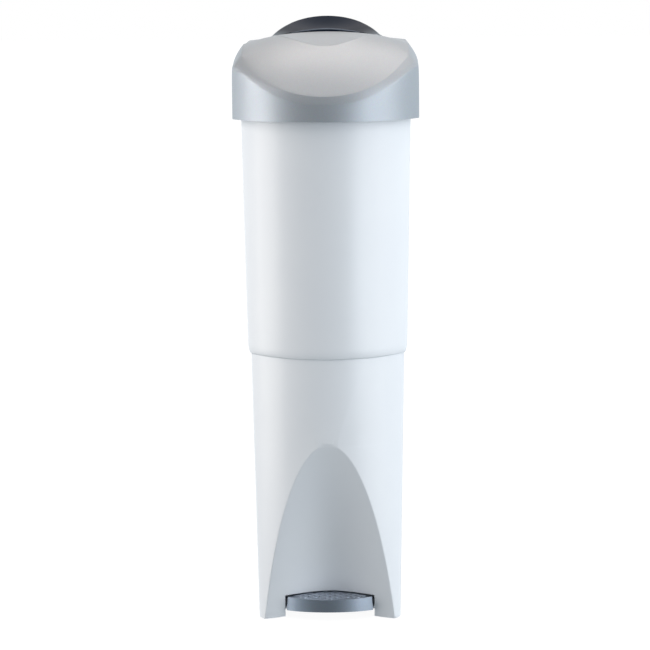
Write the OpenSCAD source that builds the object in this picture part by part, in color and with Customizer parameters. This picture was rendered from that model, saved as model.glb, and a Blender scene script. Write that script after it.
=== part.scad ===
// Tall pedal-operated nappy bin: tapered base with a toe recess, sleeve extension, lift-off hood
// and a scooped flap that a pedal lever and push rod open.
// Millimetres. Origin on the floor under the middle of the hood, +Z up, front towards -Y.

/* [Overall] */
// Width of the hood, the widest part
hood_w = 230; // [226:1:240]
// Depth of the hood, front to back
hood_depth = 380; // [374:1:400]
// Wall thickness of the moulded shells
wall = 3; // [2.6:0.1:3.4]
// Running gap between parts that move past each other
clearance = 0.3; // [0.2:0.05:0.5]
// Draft of the body's sides and front, in degrees
draft = 1; // [0.8:0.05:1.2]

/* [Base] */
// Height of the base's lower rim above the floor
rim_z = 0.8; // [0.5:0.1:1.5]
// How far the base's top rim stands up inside the extension
sleeve_overlap = 32; // [26:1:40]
// Radius of the body's bowed front, in plan, as a share of the hood's width
bow_share = 0.47; // [0.46:0.005:0.5]
// Radius between the bowed front and the sides
front_corner_r = 20; // [16:1:24]
// Radius of the body's rear corners
rear_corner_r = 24; // [20:1:30]
// Thickness of the lower wall between the base plate and the inner floor
skirt_wall = 5; // [4.5:0.1:5.5]

/* [Toe recess] */
// Height of the recess above the floor
recess_h = 234; // [220:1:245]
// Width of the wall left on each side of the recess, at the floor
recess_margin = 7.4; // [6.8:0.1:11]
// Depth of the recess at the floor, at its middle
recess_depth = 75.5; // [66:0.5:78]
// Radius that softens the middle of the recess in plan
recess_soft_r = 50; // [40:1:60]
// Width of the recess on each side of the pedal opening, at the floor
jamb_w = 25.8; // [23:0.1:26.4]
// Height of the pedal opening's top edge
cut_z = 30.2; // [29.8:0.1:34]

/* [Extension] */
// Height of the extension's lower edge
ext_z = 340; // [334:1:346]
// Height of the extension's top rim
ext_top_z = 640; // [638:1:641]
// Step out from the base to the extension
ext_step = 3.7; // [3.5:0.1:4.2]
// How far the lower edge rounds in
ext_lip = 2.7; // [2:0.1:2.8]
// Height of that rounding
ext_lip_h = 15; // [12:1:18]

/* [Hood] */
// How far the hood's lower edge hangs below the extension's top rim
hood_skirt = 9; // [7:0.5:12]
// Hood's overhang past the extension at the sides and back
hood_overhang = 10.4; // [9:0.2:12]
// Hood's overhang past the extension at the front
hood_overhang_front = 12.3; // [11:0.2:14]
// Radius of the hood's bowed front, as a share of its width
hood_bow_share = 0.535; // [0.525:0.005:0.56]
// Corner radius of the hood, in plan
hood_corner_r = 30; // [26:1:34]
// Height of the ridge above the hood's lower edge, at its middle
ridge_h = 105; // [101:1:107]
// Distance of the ridge behind the hood's front
ridge_run = 132; // [128:1:136]
// Cross radius of the hood at the ridge
ridge_r = 326; // [300:2:360]
// Height of the front panel's lower edge above the hood's, at its middle
panel_h = 30; // [25:1:32]
// Slope of the front panel at its lower edge, in degrees
panel_slope = 49.8; // [48:0.2:52]
// Cross radius of the front panel at its lower edge
panel_foot_r = 240; // [220:5:280]
// How far the front panel would rise above the ridge, were the landing not cut into it
crown_rise = 1.5; // [1:0.5:3]
// Slope of the landing in front of the ridge, in degrees
landing_slope = 15.1; // [14:0.1:16]
// Width of the landing, which tapers to a point at each end of the ridge
landing_w = 132; // [124:2:140]
// Slope of the rear deck, in degrees
deck_slope = 3.15; // [2.8:0.05:3.6]
// Inset of the rounded band's crease at the sides
band_side = 12.4; // [11:0.1:13]
// Inset of the rounded band's crease at the front
band_front = 3.4; // [3:0.1:4.5]
// Distance behind the hood's front over which that inset narrows
band_run = 72; // [66:1:78]
// Height of the rounded band at the sides
band_side_h = 25; // [22:0.5:26]
// Height of the rounded band at the front
band_front_h = 11.5; // [10:0.5:13]
// Vertical thickness of the hood's top
hood_t = 4.2; // [3.8:0.1:4.8]

/* [Flap] */
// Width of the deck on each side of the mouth
mouth_margin = 37; // [35:0.5:40]
// Gap all round the flap
flap_gap = 1.5; // [1.2:0.1:2]
// Thickness of the flap's shell
flap_t = 3; // [2.6:0.1:3.2]
// Height of the flap's crest above the ridge
crest_h = 18; // [14:1:21]
// Plan radius of the crest's arc
crest_r = 72; // [68:1:74]
// Distance of the crest arc's centre behind the ridge
crest_setback = 15; // [12:1:18]
// How far the crest's arch springs inside the mouth's edge
crest_margin = 1; // [-2:0.5:6]
// Rise of that arch above its spring line
crest_rise = 45; // [40:1:50]
// Rise of the flap's front lip above the deck
lip_rise = 4; // [3:0.1:4.4]
// Opening angle of the flap, in degrees
flap_angle = 60; // [54:1:62]

/* [Pedal] */
// Angle that the pedal turns, in degrees
pedal_angle = 5.1; // [4.6:0.1:5.4]
// Distance of the pedal's front edge behind the base's lower front
pedal_setback = 26.1; // [23:0.1:28.8]
// Length of the pedal's cover, front to back
pedal_l = 56.7; // [54:0.1:60]
// Gap on each side between the pedal and its opening
pedal_gap = 1.7; // [1.4:0.1:3]
// How far each side of the pedal leans in from its lower edge to its top
pedal_lean = 1.7; // [0.8:0.1:3]
// Height of the pedal's lower edge at its ends
pedal_z = 10.1; // [9.5:0.1:11]
// Height of the pedal's top
pedal_top_z = 28; // [27:0.1:28.4]
// Radius of the pedal's front edge, in plan
pedal_bow_r = 90; // [80:1:120]
// Radius of the pedal's lower edge, which arches up in the middle
pedal_arch_r = 715; // [600:5:900]
// Wall thickness of the pedal's cover
pedal_t = 2.5; // [2:0.1:3]

/* [Mechanism] */
// Distance of the pedal axle behind the pedal's front edge
axle_run = 72.7; // [69:0.1:77]
// Height of the pedal axle
axle_z = 20; // [19:0.5:22]
// Diameter of the pedal axle
axle_d = 8; // [7:0.5:9]
// Running gap between a shaft and its bore, on the radius
bore_gap = 0.05; // [0.02:0.01:0.09]
// Distance of the push rod in front of the base's back
rod_inset = 33.9; // [31:0.1:38]
// Diameter of the push rod
rod_d = 6; // [5:0.5:7]
// Diameter of the flap's hinge pin
pin_d = 4; // [3.5:0.1:4.2]
// Width of the lever's bar
lever_w = 20; // [16:1:24]
// Diameter of the return spring's coil, centre to centre
spring_d = 11; // [10.5:0.1:12]
// Diameter of the return spring's wire
spring_wire = 1.2; // [1:0.1:1.4]
// Number of turns of the return spring
spring_turns = 7; // [5:1:8]
// Length of the return spring with the pedal up
spring_h = 55; // [50:1:60]

/* [Floor and plate] */
// Height of the inner floor's underside
floor_z = 50; // [48:1:54]
// Thickness of the base plate and the inner floor
plate_t = 3; // [2.6:0.1:3.4]
// Recess of the base plate above the lower rim
plate_recess = 1.4; // [1.2:0.1:2]
// Diameter of the rubber feet
foot_d = 20; // [16:1:22]
// Diameter of the screws
screw_d = 4; // [3.5:0.1:4.5]

/* [Hidden] */
$fn = 64;

white = "#f0f1f4";
silver = "#b9bec6";
slate = "#5b6470";
steel = "#c8ccd0";
black = "#26282b";

// Outline sizes of the body, worked back from the hood
taper = tan(draft);
bow_r = bow_share * hood_w;
hood_bow_r = hood_bow_share * hood_w;
base_top_z = ext_z + sleeve_overlap;
hood_z = ext_top_z - hood_skirt;
ridge_z = hood_z + ridge_h;
ridge_y = hood_depth / 2 - ridge_run;
panel_z = hood_z + panel_h;
crown_z = ridge_z + crown_rise;
mouth_w = hood_w - 2 * mouth_margin;
crest_z = ridge_z + crest_h;
crest_y = ridge_y - crest_setback;
crest_half_w = mouth_w / 2 - crest_margin;
ext_half = hood_w / 2 - hood_overhang;
ext_front = hood_depth / 2 - hood_overhang_front;
base_half = ext_half - ext_step - ext_top_z * taper;
base_front = ext_front - ext_step - ext_top_z * taper;
ext_back = hood_depth / 2 - hood_overhang;
base_back = ext_back - ext_step;
recess_w = 2 * (base_half - recess_margin);
cut_w = recess_w - 2 * jamb_w;
ledge_w = 5.4;
ledge_t = 3;

// Recess: an ellipse seen from the front, centred below the floor
recess_c = 231;
recess_b = recess_h + recess_c;
recess_a = recess_w / 2 / sqrt(1 - pow(recess_c / recess_b, 2));
recess_mesh_top = 0.985 * recess_h;

// Bag ring and hood spigot, as insets from the extension's outline
ring_t = 2.5;
ring_flange_t = 3;
ring_skirt_h = 18;
ring_skirt_in = wall + clearance + ring_skirt_h * taper;
ring_in = ring_skirt_in + ring_t;
spigot_out = ring_in + clearance;
spigot_in = spigot_out + ring_t;
spigot_h = 15;
shelf_z = ext_top_z + ring_flange_t + clearance;
shelf_t = 3;

// Front panel: a parabola from its lower edge up to the crown, with the landing cut into its top
panel_y = hood_depth / 2 - band_front;
panel_run = panel_y - ridge_y;
panel_curve = (tan(panel_slope) * panel_run - (crown_z - panel_z)) / pow(panel_run, 2);
landing_fall = tan(landing_slope) - tan(panel_slope) + 2 * panel_curve * panel_run;
landing_run = (landing_fall + sqrt(pow(landing_fall, 2) + 4 * panel_curve * crown_rise))
    / (2 * panel_curve);

// Flap, hinge and push rod
pedal_front_y = base_front - pedal_setback;
pedal_back_y = pedal_front_y - pedal_l;
pedal_w = cut_w - 2 * pedal_gap;
pedal_top_w = pedal_w - 2 * pedal_lean;
axle_y = pedal_front_y - axle_run;
rod_y = base_back - rod_inset;
crank_r = 2 * (rod_y + axle_y) / cos(pedal_angle / 2) * sin(pedal_angle / 2) / (2 * sin(flap_angle / 2));
arm_r = (rod_y + axle_y) / cos(pedal_angle / 2);
rod_travel = 2 * arm_r * sin(pedal_angle / 2);
hinge_y = rod_y + crank_r * cos(flap_angle / 2);
mouth_front = -ridge_y + 2;
mouth_back = hinge_y + 10.7;
flap_front = mouth_front + flap_gap;
flap_back = hinge_y + 2;
mouth_front_r = 20;
mouth_back_r = 20;
flap_back_r = 28;
knuckle_r = pin_d / 2 + 2.4;
hinge_bracket_x = mouth_w / 2 - 36;
hinge_bracket_w = 8;
hinge_z = deck_z(hinge_bracket_x + hinge_bracket_w, hinge_y) - flap_t - knuckle_r - clearance;
tip_r = 4;
crank_tip_z = hinge_z - crank_r * sin(flap_angle / 2);
rod_top_z = crank_tip_z - tip_r - clearance;
lever_end_r = 5;
lever_end_z = axle_z - arm_r * sin(pedal_angle / 2);
rod_bottom_z = lever_end_z + lever_end_r + clearance;
floor_top_z = floor_z + plate_t;
plate_z = rim_z + plate_recess;
plate_top_z = plate_z + plate_t;
guide_z = ext_top_z - 40;
guide_h = 12;
cover_front = 11;
cover_half = 14;
cover_t = 2;
bracket_x = 27;
bracket_w = 8;
bracket_flange_l = 36;
bracket_flange_w = 12;
bracket_flange_t = 3;
bracket_hub_d = axle_d + 8;
hinge_foot_h = 24;
plate_front_y = pedal_back_y + 4;
leg_x = base_half - 27.7;
leg_y = [44 - plate_front_y, base_back - 46];
leg_r = 7;
foot_x = base_half - 25.7;
foot_y = [18 - plate_front_y, base_back - 26];
foot_stem_d = 6;
foot_stem_h = 1.5;
screw_head_t = 1.6;
base_screw_l = 18;

// ---- Outlines and shells ----

// Parts of the way along a side at which an outline has a point
side_steps = [0.06, 0.14, 0.28, 0.46, 0.64, 0.82, 1];

// A rounded outline, anticlockwise from the middle of its front. It has half-width hw, front yf in
// front and back yb behind, a bow of radius rb and corners of radius rc and rr. Column 13 is the ridge.
function plan(hw, yf, yb, rb, rc, rr) = let(
    cy = rb - yf,
    am = asin((hw - rc) / (rb - rc)),
    yc = cy - (rb - rc) * cos(am),
    side = -ridge_y,
    half = concat(
        [for (i = [0:7]) [rb * sin(am * i / 7), cy - rb * cos(am * i / 7)]],
        [for (i = [1:4]) let(a = am + (90 - am) * i / 4) [hw - rc + rc * sin(a), yc - rc * cos(a)]],
        [for (i = [1:2]) [hw, yc + (side - yc) * i / 2]],
        [for (f = side_steps) [hw, side + (yb - rr - side) * f]],
        [for (i = [1:6]) [hw - rr + rr * cos(15 * i), yb - rr + rr * sin(15 * i)]],
        [for (i = [1:3]) [(hw - rr) * (1 - i / 3), yb]]))
    mirrored(half);

// The right half of an outline, joined to its mirror image
function mirrored(half) = concat(half,
    [for (i = [len(half) - 2:-1:1]) [-half[i][0], half[i][1]]]);

function unit(v) = v / norm(v);
function left_of(v) = [-v[1], v[0]];

// Unit mitre directions that point into an anticlockwise outline
function inward(p) = let(n = len(p))
    [for (i = [0:n - 1]) let(
        n1 = left_of(unit(p[i] - p[(i + n - 1) % n])),
        n2 = left_of(unit(p[(i + 1) % n] - p[i])))
        (n1 + n2) / (1 + n1 * n2)];

function inset(p, t) = let(m = inward(p)) [for (i = [0:len(p) - 1]) p[i] + t * m[i]];
function at_z(p, z) = [for (q = p) [q[0], q[1], z]];

// A solid ring whose closed section is swept round an outline, one list of points per line of it
module swept_shell(rings) {
    m = len(rings);
    n = len(rings[0]);
    polyhedron(points = [for (r = rings) each r],
        faces = [for (k = [0:m - 1], j = [0:n - 1], half = [0, 1]) let(
            a = k * n + j,
            b = k * n + (j + 1) % n,
            c = (k + 1) % m * n + (j + 1) % n,
            d = (k + 1) % m * n + j)
            half == 0 ? [a, d, c] : [a, c, b]]);
}

// A closed solid from the middle of its underside, out round its rim and back to the middle of its top
module capped_shell(under, rings, top) {
    m = len(rings);
    n = len(rings[0]);
    polyhedron(points = concat([for (r = rings) each r], [under, top]),
        faces = concat(
            [for (k = [0:m - 2], j = [0:n - 1], half = [0, 1]) let(
                a = k * n + j,
                b = k * n + (j + 1) % n,
                c = (k + 1) * n + (j + 1) % n,
                d = (k + 1) * n + j)
                half == 0 ? [a, d, c] : [a, c, b]],
            [for (j = [0:n - 1]) [m * n, j, (j + 1) % n]],
            [for (j = [0:n - 1]) [(m - 1) * n + j, m * n + 1, (m - 1) * n + (j + 1) % n]]));
}

// A flat plate of an outline
module slab(outline, z, t) {
    translate([0, 0, z])
        linear_extrude(t) polygon(outline);
}

// ---- Base body ----

// The wall's rows: the recess's own, then even ones from just above it
wall_rows = 7;
wall_rows_z = recess_h + 1.5;
base_zs = [rim_z, plate_top_z - 0.2, plate_top_z + 0.2, cut_z, floor_z - 0.2, floor_z + 0.2,
    floor_z + 18,
    for (f = [0.38, 0.48, 0.58, 0.67, 0.75, 0.82, 0.875, 0.915, 0.945, 0.967]) f * recess_h,
    recess_mesh_top,
    for (i = [0:wall_rows]) wall_rows_z + (base_top_z - wall_rows_z) * i / wall_rows];
cut_ring = 3;
cut_column = 5;
arch_fan = 0.36;
recess_steps = [0, 0.15, 0.3, 0.44, 0.58, 0.72, 0.86];

function base_half_at(z) = base_half + z * taper;
function base_front_at(z) = base_front + z * taper;
function recess_half(z) = recess_a * sqrt(1 - pow((min(z, recess_mesh_top) + recess_c) / recess_b, 2));
function recess_depth_at(z) = z < recess_h ? recess_depth * (1 - z / recess_h) : 0;

// Half-width of the columns that follow the arch: above its top they fan out over the bowed front
function arch_half(z) = recess_half(z) + max(0, z - recess_h) * arch_fan;
function soften(x) = sqrt(x * x + recess_soft_r * recess_soft_r) - recess_soft_r;

// Front surface of the body at x, with the recess, and its slope in plan
function front_y(x, z) = bow_r - base_front_at(z) - sqrt(bow_r * bow_r - x * x)
    + recess_depth_at(z) * (1 - soften(x) / soften(recess_half(z)));
function bow_slope(x) = x / sqrt(bow_r * bow_r - x * x);
function front_slope(x, z) = bow_slope(x) - recess_depth_at(z) / soften(recess_half(z))
    * x / sqrt(x * x + recess_soft_r * recess_soft_r);
function slope_normal(s) = unit([-s, 1]);

// One level of the base's wall, t inside its outer surface
function base_ring(z, t) = let(
    w = arch_half(z),
    hw = base_half_at(z) - t,
    rb = bow_r - t,
    rc = front_corner_r - t,
    rr = rear_corner_r - t,
    yb = base_back - t,
    cy = bow_r - base_front_at(z),
    am = asin((hw - rc) / (rb - rc)),
    yc = cy - (rb - rc) * cos(am),
    n1 = slope_normal(front_slope(w, z)),
    n2 = slope_normal(bow_slope(w)),
    tip = [w, front_y(w, z)] + t * (n1 + n2) / (1 + n1 * n2),
    a0 = asin(tip[0] / rb),
    half = concat(
        [for (i = [0:len(recess_steps) - 1]) let(
            x = i == cut_column && z <= cut_z ? cut_w / 2 : recess_steps[i] * w,
            n = i == cut_column && z <= cut_z ? [0, 1 / slope_normal(front_slope(x, z))[1]]
                : slope_normal(front_slope(x, z)))
            [x, front_y(x, z)] + t * n],
        [tip],
        [for (i = [1:5]) let(a = a0 + (am - a0) * i / 5) [rb * sin(a), cy - rb * cos(a)]],
        [for (i = [1:4]) let(a = am + (90 - am) * i / 4) [hw - rc + rc * sin(a), yc - rc * cos(a)]],
        [for (i = [1:3]) [hw, yc + (yb - rr - yc) * i / 3]],
        [for (i = [1:6]) [hw - rr + rr * cos(15 * i), yb - rr + rr * sin(15 * i)]],
        [for (i = [1:2]) [(hw - rr) * (1 - i / 2), yb]]))
    mirrored(half);

// Wall thickness at each level: thin round the base plate, thick up to the inner floor, then plain
function base_wall(k) = k < 2 ? skirt_wall - 2.8 : k < 5 ? skirt_wall : wall;
function base_inner_z(k) = k == 1 || k == 2 ? plate_top_z : k == 4 || k == 5 ? floor_z : base_zs[k];

module base_body() {
    m = len(base_zs);
    outer = [for (z = base_zs) at_z(base_ring(z, 0), z)];
    inner = [for (k = [0:m - 1]) at_z(base_ring(base_inner_z(k), base_wall(k)), base_inner_z(k))];
    n = len(outer[0]);
    open = function (k, j) k < cut_ring && (j < cut_column || j >= n - cut_column);
    o = function (k, j) k * n + j % n;
    i = function (k, j) (m + k) * n + j % n;
    quad = function (a, b, c, d) [[a, b, c], [a, c, d]];
    walls = [for (k = [0:m - 2], j = [0:n - 1]) if (!open(k, j))
        each concat(quad(o(k, j), o(k + 1, j), o(k + 1, j + 1), o(k, j + 1)),
            quad(i(k, j), i(k, j + 1), i(k + 1, j + 1), i(k + 1, j)))];
    rims = [for (j = [0:n - 1]) each concat(
        quad(o(m - 1, j), i(m - 1, j), i(m - 1, j + 1), o(m - 1, j + 1)),
        quad(o(open(0, j) ? cut_ring : 0, j), o(open(0, j) ? cut_ring : 0, j + 1),
            i(open(0, j) ? cut_ring : 0, j + 1), i(open(0, j) ? cut_ring : 0, j)))];
    jambs = [for (k = [0:cut_ring - 1]) each concat(
        quad(i(k, cut_column), i(k + 1, cut_column), o(k + 1, cut_column), o(k, cut_column)),
        quad(i(k, n - cut_column), o(k, n - cut_column), o(k + 1, n - cut_column),
            i(k + 1, n - cut_column)))];
    color(white)
        polyhedron(points = [for (r = concat(outer, inner)) each r], faces = concat(walls, rims, jambs));
}

// ---- Floor, plate and feet ----

plate_outline = inset(base_ring(rim_z, base_wall(0)), clearance);
floor_outline = inset(base_ring(floor_z, wall), clearance);
feet_at = [for (x = [-foot_x, foot_x], y = foot_y) [x, y]];
legs_at = [for (x = [-leg_x, leg_x], y = leg_y) [x, y]];

module base_plate() {
    color(white) difference() {
        slab(plate_outline, plate_z, plate_t);
        translate([-hood_w / 2, -hood_depth, 0]) cube([hood_w, hood_depth - plate_front_y, 20]);
        for (p = feet_at) translate([p[0], p[1], 0]) 
            cylinder(h = axle_z, d = foot_stem_d + 2 * bore_gap);
        for (p = legs_at) translate([p[0], p[1], 0]) cylinder(h = 20, d = screw_d + 2 * bore_gap);
        for (p = bracket_holes) translate([p[0], p[1], 0])
            cylinder(h = axle_z, d = screw_d + 2 * bore_gap);
    }
}

module inner_floor() {
    color(white) difference() {
        union() {
            slab(floor_outline, floor_z, plate_t);
            for (p = legs_at) translate([p[0], p[1], plate_top_z])
                cylinder(h = floor_z - plate_top_z + 1, r = leg_r);
        }
        for (p = legs_at) translate([p[0], p[1], plate_top_z - 1])
            cylinder(h = base_screw_l + 3, d = screw_d + 2 * bore_gap);
        translate([0, rod_y, floor_z - 1]) cylinder(h = plate_t + 2, d = rod_d + 8 + 2 * bore_gap);
    }
}

module rubber_feet() {
    color(black) for (p = feet_at) translate([p[0], p[1], 0]) {
        cylinder(h = plate_z, d = foot_d);
        cylinder(h = plate_top_z + foot_stem_h, d = foot_stem_d);
    }
}

// A pan-head screw, its head's underside at z = 0 and its shank upwards
module screw(length) {
    cylinder(h = length, d = screw_d);
    translate([0, 0, -screw_head_t]) cylinder(h = screw_head_t, d = screw_d * 1.6);
}

module base_screws() {
    color(steel) for (p = legs_at) translate([p[0], p[1], plate_z])
        screw(base_screw_l);
}

// ---- Pedal, lever and axle ----

bracket_hole_y = bracket_flange_l / 2 - 7;
bracket_holes = [for (s = [-1, 1], y = [-bracket_hole_y, bracket_hole_y])
    [s * (bracket_x + bracket_w + bracket_flange_w / 2), y - axle_y]];

// One bearing bracket, with its flange on the right
module axle_bracket() {
    difference() {
        union() {
            translate([bracket_x, -axle_y, axle_z]) rotate([0, 90, 0])
                cylinder(h = bracket_w, d = bracket_hub_d);
            translate([bracket_x, -axle_y - bracket_hub_d / 2, plate_top_z])
                cube([bracket_w, bracket_hub_d, axle_z - plate_top_z]);
            translate([bracket_x, -axle_y - bracket_flange_l / 2, plate_top_z])
                cube([bracket_w + bracket_flange_w, bracket_flange_l, bracket_flange_t]);
        }
        translate([bracket_x - 1, -axle_y, axle_z]) rotate([0, 90, 0])
            cylinder(h = bracket_w + 2, d = axle_d + bore_gap);
        for (p = bracket_holes) translate([p[0], p[1], 0])
            cylinder(h = axle_z, d = screw_d + 2 * bore_gap);
    }
}

module axle_bracket_right() { color(white) axle_bracket(); }
module axle_bracket_left() { color(white) mirror([1, 0, 0]) axle_bracket(); }

module bracket_screws() {
    color(steel) for (p = bracket_holes)
        translate([p[0], p[1], plate_top_z + bracket_flange_t]) mirror([0, 0, 1])
            screw(bracket_flange_t + plate_t);
}

module pedal_axle() {
    color(steel) translate([-bracket_x - bracket_w - 2, -axle_y, axle_z]) rotate([0, 90, 0])
        cylinder(h = 2 * (bracket_x + bracket_w + 2), d = axle_d);
}

bend_swell = 0.2;

// A flat bar, width wide along X, through points of the YZ plane, with a round end of radius end_r
module bar(points, width, t, end_r) {
    last = len(points) - 1;
    translate([-width / 2, 0, 0]) rotate([90, 0, 90]) linear_extrude(width) {
        for (i = [1:last]) let(a = points[i - 1], b = points[i])
            translate(a) rotate(atan2(b[1] - a[1], b[0] - a[0]))
                translate([0, -t / 2]) square([norm(b - a), t]);
        for (i = [1:last])
            translate(points[i]) circle(r = i == last ? end_r : t / 2 + bend_swell);
    }
}

lever_t = 7;
lever_front_y = -pedal_front_y + 16;
lever_front_z = axle_z - lever_t / 2;
lever_front_t = min(lever_t, pedal_top_z - pedal_t - clearance - lever_front_z);
hub_r = axle_d / 2 + 4.5;
tread_plate_w = pedal_top_w - 2 * pedal_t - 11.2;
tread_plate_t = 3;
tread_plate_l = 36;
tread_front_y = -pedal_front_y + 18;

module pedal_lever() {
    color(steel) difference() {
        union() {
            translate([-bracket_x + 1, -axle_y, axle_z]) rotate([0, 90, 0])
                cylinder(h = 2 * bracket_x - 2, r = hub_r);
            bar([[-axle_y, axle_z], [arm_r * cos(pedal_angle / 2) - axle_y, lever_end_z]],
                lever_w, lever_t, lever_end_r);
            translate([-lever_w / 2, lever_front_y, lever_front_z])
                cube([lever_w, -axle_y - lever_front_y, lever_front_t]);
            translate([-tread_plate_w / 2, tread_front_y, lever_front_z])
                cube([tread_plate_w, tread_plate_l, tread_plate_t]);
        }
        translate([-bracket_x, -axle_y, axle_z]) rotate([0, 90, 0])
            cylinder(h = 2 * bracket_x, r = axle_d / 2 + bore_gap);
        for (x = pedal_screw_x) translate([x, pedal_screw_y, lever_front_z - 1])
            cylinder(h = tread_plate_t + 2, d = screw_d + 2 * bore_gap);
    }
}

pedal_screw_x = [11 - tread_plate_w / 2, tread_plate_w / 2 - 11];
pedal_screw_y = -pedal_back_y - 14;
pedal_h = pedal_top_z - pedal_z;

// The pedal's outline in plan, its front and sides t inside the outer surface
module pedal_outline(half, t) {
    intersection() {
        translate([0, pedal_bow_r - pedal_front_y]) circle(r = pedal_bow_r - t, $fn = 128);
        translate([-half, -pedal_front_y - 1]) square([2 * half, pedal_front_y - pedal_back_y + 1]);
    }
}

// The pedal's cover: a shell open below and behind, with tapered sides and two screw bosses
module pedal() {
    boss_z = lever_front_z + tread_plate_t;
    under_z = pedal_top_z - pedal_t;
    color(slate) difference() {
        union() {
            difference() {
                intersection() {
                    translate([0, 0, pedal_z]) linear_extrude(pedal_h) pedal_outline(pedal_w / 2, 0);
                    rotate([90, 0, 0]) linear_extrude(hood_depth) polygon([[-pedal_w / 2, pedal_z],
                        [pedal_w / 2, pedal_z], [pedal_top_w / 2, pedal_top_z],
                        [-pedal_top_w / 2, pedal_top_z]]);
                }
                translate([0, 0, pedal_z - 1]) linear_extrude(under_z + 1 - pedal_z)
                    pedal_outline(pedal_top_w / 2 - pedal_t, pedal_t);
            }
            for (x = pedal_screw_x) translate([x, pedal_screw_y, boss_z])
                cylinder(h = under_z - boss_z + 0.5, d = screw_d + 5);
        }
        translate([0, 0, pedal_z + pow(pedal_w / 2, 2) / (2 * pedal_arch_r) - pedal_arch_r])
            rotate([90, 0, 0]) cylinder(h = hood_depth, r = pedal_arch_r, $fn = 256);
        for (x = pedal_screw_x) translate([x, pedal_screw_y, pedal_z])
            cylinder(h = under_z + 1 - pedal_z, d = screw_d + 2 * bore_gap);
    }
}

module pedal_screws() {
    color(steel) for (x = pedal_screw_x)
        translate([x, pedal_screw_y, lever_front_z]) screw(pedal_top_z - pedal_t - lever_front_z);
}

// ---- Push rod, guides and spring ----

module rod_at(z, h, d) {
    translate([0, rod_y, z]) cylinder(h = h, d = d);
}

cap_h = 10;
cap_d = rod_d + 6;
rod_end = 3;
cap_gap = 0.02;

module push_rod() {
    color(steel) rod_at(rod_bottom_z + rod_end, rod_top_z - rod_bottom_z - 2 * rod_end, rod_d);
}

// A cap with a blind bore, its closed face at z = 0
module rod_cap() {
    difference() {
        cylinder(h = cap_h, d = cap_d);
        translate([0, 0, rod_end]) cylinder(h = cap_h, d = rod_d + 2 * cap_gap);
    }
}

module rod_foot() { color(black) translate([0, rod_y, rod_bottom_z]) rod_cap(); }

module rod_head() { color(black) translate([0, rod_y, rod_top_z]) mirror([0, 0, 1]) rod_cap(); }

collar_h = 6;
collar_z = guide_z - spring_h - collar_h;

module rod_collar() {
    color(steel) difference() {
        rod_at(collar_z, collar_h, spring_d + 4);
        rod_at(collar_z - 1, collar_h + 2, rod_d + 2 * cap_gap);
    }
}

// Closed end turns and open middle turns, as a height for each part of the coil
spring_steps = 14;
spring_sides = 8;
function spring_height(t) = let(e = 1 / spring_turns, lead = spring_wire / spring_h)
    t < e ? lead * t / e
    : t > 1 - e ? 1 - lead * (1 - t) / e
    : lead + (1 - 2 * lead) * (t - e) / (1 - 2 * e);

module return_spring() {
    m = spring_turns * spring_steps;
    free_h = spring_h - spring_wire - clearance;
    z0 = collar_z + collar_h + spring_wire / 2 + clearance / 2;
    rings = [for (k = [0:m]) let(a = 360 * k / spring_steps, h = z0 + free_h * spring_height(k / m))
        [for (j = [0:spring_sides - 1]) let(
            b = -360 * j / spring_sides,
            r = spring_d / 2 + spring_wire / 2 * cos(b))
            [r * cos(a), rod_y + r * sin(a), h + spring_wire / 2 * sin(b)]]];
    n = spring_sides;
    color(steel) polyhedron(points = [for (r = rings) each r], faces = concat(
        [for (k = [0:m - 1], j = [0:n - 1], half = [0, 1]) let(
            a = k * n + j,
            b = k * n + (j + 1) % n,
            c = (k + 1) * n + (j + 1) % n,
            d = (k + 1) * n + j)
            half == 0 ? [a, c, b] : [a, d, c]],
        [[for (j = [0:n - 1]) j]],
        [[for (j = [n - 1:-1:0]) m * n + j]]));
}

bush_d = rod_d + 8;
bush_flange_d = rod_d + 11;
bush_flange_t = 3;
bush_below = 2;

// A flanged bush through the inner floor
module rod_guide_lower() {
    bush_z = floor_z - bush_below;
    color(black) difference() {
        union() {
            rod_at(bush_z, floor_top_z - bush_z, bush_d);
            rod_at(floor_top_z, bush_flange_t, bush_flange_d);
        }
        rod_at(bush_z - 1, floor_top_z - bush_z + bush_flange_t + 2, rod_d + 2 * bore_gap);
    }
}

ext_inner_back = ext_back - wall;

// A block on the extension's rear wall that guides the rod and stops the spring
module rod_guide_upper() {
    color(white) difference() {
        translate([-cover_half, rod_y - cover_front, guide_z])
            cube([2 * cover_half, ext_inner_back - rod_y + cover_front, guide_h]);
        rod_at(guide_z - 1, guide_h + 2, rod_d + 2 * bore_gap);
    }
}

// A channel that keeps the bag off the rod and spring
module rod_cover() {
    back = base_back - wall - 2;
    h = guide_z - clearance - floor_top_z;
    color(white) difference() {
        translate([-cover_half, rod_y - cover_front, floor_top_z])
            cube([2 * cover_half, back - rod_y + cover_front, h]);
        translate([cover_t - cover_half, rod_y - cover_front + cover_t, floor_top_z - 1])
            cube([2 * (cover_half - cover_t), back, h + 2]);
    }
}

// ---- Extension and bag ring ----

function ext_plan(z) = plan(ext_half - (ext_top_z - z) * taper, ext_front - (ext_top_z - z) * taper,
    ext_back, bow_r + ext_step, front_corner_r + ext_step, rear_corner_r + ext_step);
ext_top = ext_plan(ext_top_z);

module extension_body() {
    lip = [for (a = [0:22.5:90]) [ext_z + ext_lip_h * (1 - cos(a)), ext_lip * (1 - sin(a))]];
    outer = [for (p = lip) at_z(inset(ext_plan(p[0]), p[1]), p[0])];
    inside = [[ext_top_z, wall], [base_top_z + ledge_t, wall], [base_top_z + ledge_t, wall + ledge_w],
        [base_top_z, wall + ledge_w], [base_top_z, wall], [ext_z, wall]];
    inner = [for (p = inside) at_z(inset(ext_plan(p[0]), p[1]), p[0])];
    color(white) swept_shell(concat(outer, [at_z(ext_top, ext_top_z)], inner));
}

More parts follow.
